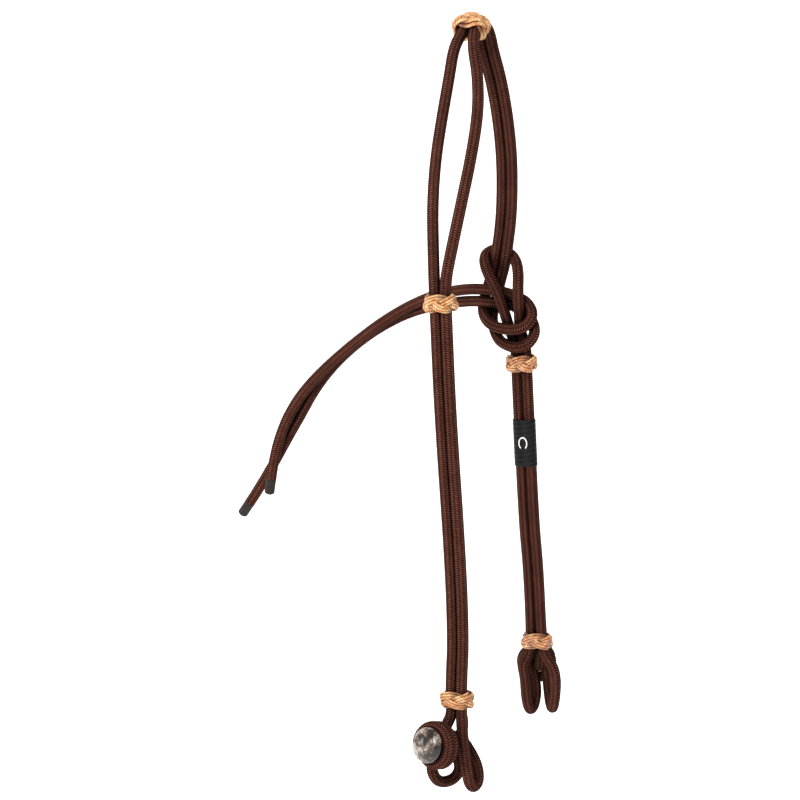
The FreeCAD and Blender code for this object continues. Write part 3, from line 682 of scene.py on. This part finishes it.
def cord_tube(line, ahead, side, radius):
    """A closed two-ply waxed cord along a closed line, as rings of points with a ply value that is
    highest in the grooves between the plies, used for painted shade there.
    """
    other = np.cross(ahead, side)
    steps = np.linalg.norm(np.roll(line, -1, axis=0) - line, axis=1)
    along = np.concatenate([[0], np.cumsum(steps)[:-1]])
    turns = round(float(steps.sum()) / 0.0032)
    angle = np.arange(16) * 2 * math.pi / 16
    twist = 2 * math.pi * turns * along / float(steps.sum())
    wave = np.cos(2 * (angle[None, :] - twist[:, None]))
    reach = radius * (0.92 + 0.10 * wave)
    outward = (np.cos(angle)[None, :, None] * side[:, None, :]
               + np.sin(angle)[None, :, None] * other[:, None, :])
    points = line[:, None, :] + reach[:, :, None] * outward
    return points, 0.5 - 0.5 * wave


def add_ring_knot(node, centres, place_map, material, phase=0.0, width=0.0033, reach=0.0051,
                  cord=CORD):
    """A three-lead four-bight ring knot; each lead is three cords side by side."""
    rail, normals = hull_outline(centres, reach)
    steps = 3 * 420
    theta = np.arange(steps) / steps * 6 * math.pi
    index = theta / (2 * math.pi) % 1 * len(rail)
    table = np.arange(len(rail) + 1)
    base = np.column_stack([np.interp(index, table, np.append(rail[:, k], rail[0, k]))
                            for k in (0, 1)])
    out = np.column_stack([np.interp(index, table, np.append(normals[:, k], normals[0, k]))
                           for k in (0, 1)])
    out /= np.linalg.norm(out, axis=1)[:, None]
    outward = np.column_stack([out, np.zeros(steps)])
    weave = 4 * theta / 3 + phase
    radius = reach + 0.00105 * np.sin(2 * weave)
    axial = width * np.sin(weave)
    line = np.column_stack([base + radius[:, None] * out, axial])
    ahead = np.roll(line, -1, axis=0) - np.roll(line, 1, axis=0)
    across = np.cross(outward, ahead)
    across /= np.linalg.norm(across, axis=1)[:, None]
    meshes = []
    for lane in (-1, 0, 1):
        lead = line + lane * cord * 0.94 * across + (1 - abs(lane)) * 0.00030 * outward
        edge = np.clip((np.abs(lead[:, 2]) - 0.8 * width) / (0.75 * width), 0, None)
        lead = lead - (0.00135 * edge ** 1.6)[:, None] * outward
        lead[:, 2] *= 1 - 0.06 * np.clip(edge, 0, 1)
        way = np.roll(lead, -1, axis=0) - np.roll(lead, 1, axis=0)
        way /= np.linalg.norm(way, axis=1)[:, None]
        side = outward - np.sum(outward * way, axis=1)[:, None] * way
        side /= np.linalg.norm(side, axis=1)[:, None]
        points, ply = cord_tube(lead, way, side, cord / 2)
        # Painted shade mask: high where the lead dips inward under its crossing leads.
        low = 0.5 - 0.5 * np.sin(2 * weave)
        painted_under_shade = np.clip(low * 1.5 - 0.55, 0, 1)[:, None] * np.ones_like(ply)
        points = place_map(points[..., 0], points[..., 1], points[..., 2])
        meshes.append([np.vstack([grid, grid[:1]]) for grid in (points, ply, painted_under_shade)])
    points, ply, painted_under_shade = (np.concatenate([m[k] for m in meshes]) for k in range(3))
    mesh = grid_mesh(node + "_cord", points, None, values={"ply": ply, "painted_under_shade": painted_under_shade})
    drop_joins(mesh, 16, [len(m[0]) for m in meshes])
    piece = new_piece(node + "_cord", mesh, material)
    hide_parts(node)
    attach(piece, node_body[node])
    return piece


def drop_joins(mesh, around, lengths):
    """Removes the faces that join one cord's last ring to the next cord's first."""
    work = bmesh.new()
    work.from_mesh(mesh)
    work.faces.ensure_lookup_table()
    doomed = []
    row = 0
    for length in lengths[:-1]:
        row += length
        doomed += [work.faces[(row - 1) * around + k] for k in range(around)]
    bmesh.ops.delete(work, geom=doomed, context="FACES_ONLY")
    work.to_mesh(mesh)
    work.free()


def box_middle(node):
    lowest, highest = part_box(node)
    return (lowest + highest) / 2


CROWN_PAIR = [(-HALF - 0.0010, 0.0), (HALF - 0.0008, 0.0)]
add_ring_knot("crown_knot", CROWN_PAIR, crown_map(-22), matte_cord, phase=0.3, reach=0.0060,
              cord=0.0020)
add_ring_knot("ear_knot", PAIR, straight_map(box_middle("ear_knot")), matte_cord, phase=0.9)
add_ring_knot("far_upper_knot", PAIR, straight_map(box_middle("far_upper_knot")), glossy_cord,
              phase=0.4)
stalk_shift = Vector((0, 0.0027, 0))
near_bit_middle = box_middle("near_bit_knot") - stalk_shift
far_bit_middle = box_middle("far_bit_knot") - stalk_shift
add_ring_knot("near_bit_knot", PAIR_AND_STALK, straight_map(near_bit_middle, 0.2), matte_cord, phase=1.3)
add_ring_knot("far_bit_knot", PAIR_AND_STALK, straight_map(far_bit_middle, 0.2), glossy_cord, phase=0.6)

# ---------------------------------------------------------------- sleeve and its print

SLEEVE_LENGTH = 0.0295
SLEEVE_REACH = 0.0040


def sleeve_point(share, out, height):
    """A point of the sleeve: round it by share, standing out from the ropes, at a height."""
    rail, normals = hull_outline(PAIR, SLEEVE_REACH)
    index = np.asarray(share) % 1 * len(rail)
    table = np.arange(len(rail) + 1)
    base = [np.interp(index, table, np.append(rail[:, k], rail[0, k])) for k in (0, 1)]
    way = [np.interp(index, table, np.append(normals[:, k], normals[0, k])) for k in (0, 1)]
    between = np.exp(-(base[0] / 0.0016) ** 2) * np.abs(way[1])
    ripple = 0.00006 * np.sin(height * 2100 + 3 * np.cos(2 * math.pi * np.asarray(share)))
    reach = SLEEVE_REACH + out - 0.00028 * between + ripple
    centre = box_middle("shrink_sleeve")
    return np.stack([centre.x + base[0] + reach * way[0], centre.y + base[1] + reach * way[1],
                     centre.z + height + np.zeros_like(base[0])], axis=-1)


def add_sleeve():
    share = np.arange(320) / 320
    half = SLEEVE_LENGTH / 2
    profile = [(-0.00055, -half + 0.0003), (-0.00030, -half), (-0.00008, -half + 0.0001),
               (0.0, -half + 0.0006)]
    rows = [(out, height) for out, height in profile]
    rows += [(0.0, height) for height in np.linspace(-half + 0.0012, half - 0.0012, 60)]
    rows += [(out, -height) for out, height in profile[::-1]]
    points = np.array([sleeve_point(share, out, height) for out, height in rows])
    mesh = grid_mesh("shrink_sleeve_skin", points, None)
    piece = new_piece("shrink_sleeve_skin", mesh, sleeve_look)
    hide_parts("shrink_sleeve")
    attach(piece, "far_side")


def add_print():
    """A plain printed horseshoe on the front of the sleeve."""
    turns = np.radians(np.linspace(-55, 235, 40))
    rows = [[sleeve_point(FRONT_SHARE + across * math.cos(turn) / SLEEVE_ROUND, 0.00012,
                          height * math.sin(turn)) for turn in turns]
            for across, height in ((0.0022, 0.0032), (0.0029, 0.0040))]
    mesh = bpy.data.meshes.new("sleeve_print")
    count = len(turns)
    places = [tuple(point) for row in rows for point in row]
    faces = [(i + 1, i, count + i, count + i + 1) for i in range(count - 1)]
    mesh.from_pydata(places, [], faces)
    piece = new_piece("sleeve_print", mesh, print_look)
    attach(piece, "far_side")


SLEEVE_ROUND = 4 * HALF + 2 * math.pi * SLEEVE_REACH
FRONT_SHARE = HALF / SLEEVE_ROUND
add_sleeve()
add_print()

# ---------------------------------------------------------------- buttons


def add_button_wrap(name, node, centre, facing, radius, body):
    """Two turns of rope round the stone, the front end tucked under the stone's rim."""
    spin = Vector(facing).to_track_quat("Z", "Y").to_matrix()
    points = []
    count = 27
    for number in range(count + 1):
        share = number / count
        turn = math.radians(150) + 2 * math.pi * number / 12
        climb = -0.0036 + 0.0072 * min(max((share - 0.12) / 0.80, 0), 1)
        tuck = 0.0045 * max(share - 0.93, 0) / 0.07 + 0.0030 * max(0.05 - share, 0) / 0.05
        reach = (radius - tuck) / math.cos(math.pi / 12)
        local = Vector((reach * math.cos(turn), reach * math.sin(turn), climb))
        points.append(tuple(Vector(centre) + spin @ local))
    rope = Rope(points)
    piece = rope.piece(name, 0, rope.along[-1], rope_look)
    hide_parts(node)
    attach(piece, body)


def add_stone(name, node, centre, facing, body, seed):
    """A domed stone, ground a little unevenly."""
    spin = np.array(Vector(facing).to_track_quat("Z", "Y").to_matrix())
    rise = np.array(RISE)
    rings = len(rise)
    around = 96
    angle = np.arange(around) * 2 * math.pi / around
    points = np.empty((rings, around, 3))
    chance = np.random.default_rng(seed)
    cuts = [(np.array([math.cos(a) * t, math.sin(a) * t, math.sqrt(1 - t * t)]), d)
            for a, t, d in zip(chance.uniform(0, 2 * math.pi, 9), chance.uniform(0.25, 0.9, 9),
                               chance.uniform(0.0, 0.00075, 9))]
    for i, (reach, height) in enumerate(rise):
        points[i, :, 0] = reach * np.cos(angle)
        points[i, :, 1] = reach * np.sin(angle)
        points[i, :, 2] = height
    flat = points.reshape(-1, 3)
    top = rise[:, 1].max()
    for way, depth in cuts:
        support = np.max(flat @ way) - depth
        beyond = np.clip(flat @ way - support, 0, None)
        flat = flat - 0.85 * beyond[:, None] * way
    points = (flat @ spin.T + np.array(centre)).reshape(rings, around, 3)
    mesh = grid_mesh(name, points, None)
    piece = new_piece(name, mesh, stone_look)
    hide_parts(node)
    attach(piece, body)


RISE = [(0.0052, 0.0030), (0.0078, 0.0048), (0.0098, 0.0062), (0.0104, 0.0072)]
RISE += [(0.0104 * math.cos(math.radians(a)), 0.0076 + 0.0056 * math.sin(math.radians(a)))
         for a in range(4, 91, 4)] + [(0.00001, 0.0132)]
BUTTONS = {
    "near": ((-0.0121, -0.0870, -0.4041), (-0.31, -0.91, 0.28), 0.0107, "near_bit_end"),
    "far": ((-0.0058, 0.0665, -0.4000), (-0.40, 0.88, 0.26), 0.0092, "far_bit_end"),
}
for number, (side, (centre, facing, radius, body)) in enumerate(BUTTONS.items()):
    add_button_wrap(side + "_button_rope", side + "_button_wrap", centre, facing, radius, body)
    add_stone(side + "_button_dome", side + "_button_stone", centre, facing, body, 3 + number)
    frame["nodes"][side + "_button_core"].data.materials.clear()
    frame["nodes"][side + "_button_core"].data.materials.append(core_look)
binding = frame["nodes"]["butt_whipping"]
binding.data.materials.clear()
binding.data.materials.append(whipping_look)

# ---------------------------------------------------------------- free tails: their spans are looked up and nothing more is done

for side, exit_place in (("upper", UPPER_EXIT), ("lower", LOWER_EXIT)):
    first, last = crown_spans[side + "_tail"]

# ---------------------------------------------------------------- stage and lights


def add_stage():
    """A pale floor that curves up into a pale backdrop."""
    depth = [(-2.2, 0.0), (0.9, 0.0)]
    sweep = [math.radians(angle) for angle in range(0, 91, 6)]
    depth += [(0.9 + 0.7 * math.sin(a), 0.7 - 0.7 * math.cos(a)) for a in sweep[1:]]
    depth += [(1.6, 2.6)]
    toward = Vector((-back.x, -back.y, 0)).normalized()
    across = Vector((toward.y, -toward.x, 0))
    floor_z = cad_low.z - 0.09
    rows = []
    for reach, rise in depth:
        for side in (-2.6, 2.6):
            rows.append(toward * reach + across * side + Vector((0, 0, floor_z + rise)))
    faces = [(2 * i, 2 * i + 1, 2 * i + 3, 2 * i + 2) for i in range(len(depth) - 1)]
    mesh = bpy.data.meshes.new("stage")
    mesh.from_pydata(rows, [], faces)
    mesh.polygons.foreach_set("use_smooth", [True] * len(faces))
    nodes = Nodes("stage", roughness=0.9, specular=0.1)
    nodes.shader.inputs["Base Color"].default_value = (0.93, 0.93, 0.93, 1)
    nodes.shader.inputs["Emission Color"].default_value = (1, 1, 1, 1)
    nodes.shader.inputs["Emission Strength"].default_value = 0.45
    mesh.materials.append(nodes.material)
    stage = bpy.data.objects.new("stage", mesh)
    bpy.context.scene.collection.objects.link(stage)


def add_light(name, place, size, power):
    data = bpy.data.lights.new(name, "AREA")
    data.shape = "DISK"
    data.size = size
    data.energy = power
    lamp = bpy.data.objects.new(name, data)
    lamp.location = place
    target = Vector((0, 0, -0.2))
    lamp.rotation_mode = "QUATERNION"
    lamp.rotation_quaternion = (target - Vector(place)).to_track_quat("-Z", "Y")
    bpy.context.scene.collection.objects.link(lamp)


add_stage()
add_light("key", (0.10, -1.45, 0.75), 0.50, 46)
add_light("side", (-1.25, -0.95, 0.10), 0.60, 12)
add_light("top", (0.1, 0.2, 1.2), 0.9, 5)
world = bpy.data.worlds.new("world")
world.use_nodes = True
world.node_tree.nodes["Background"].inputs["Color"].default_value = (1, 1, 1, 1)
world.node_tree.nodes["Background"].inputs["Strength"].default_value = 0.35
bpy.context.scene.world = world
bpy.context.scene.view_settings.view_transform = "Standard"
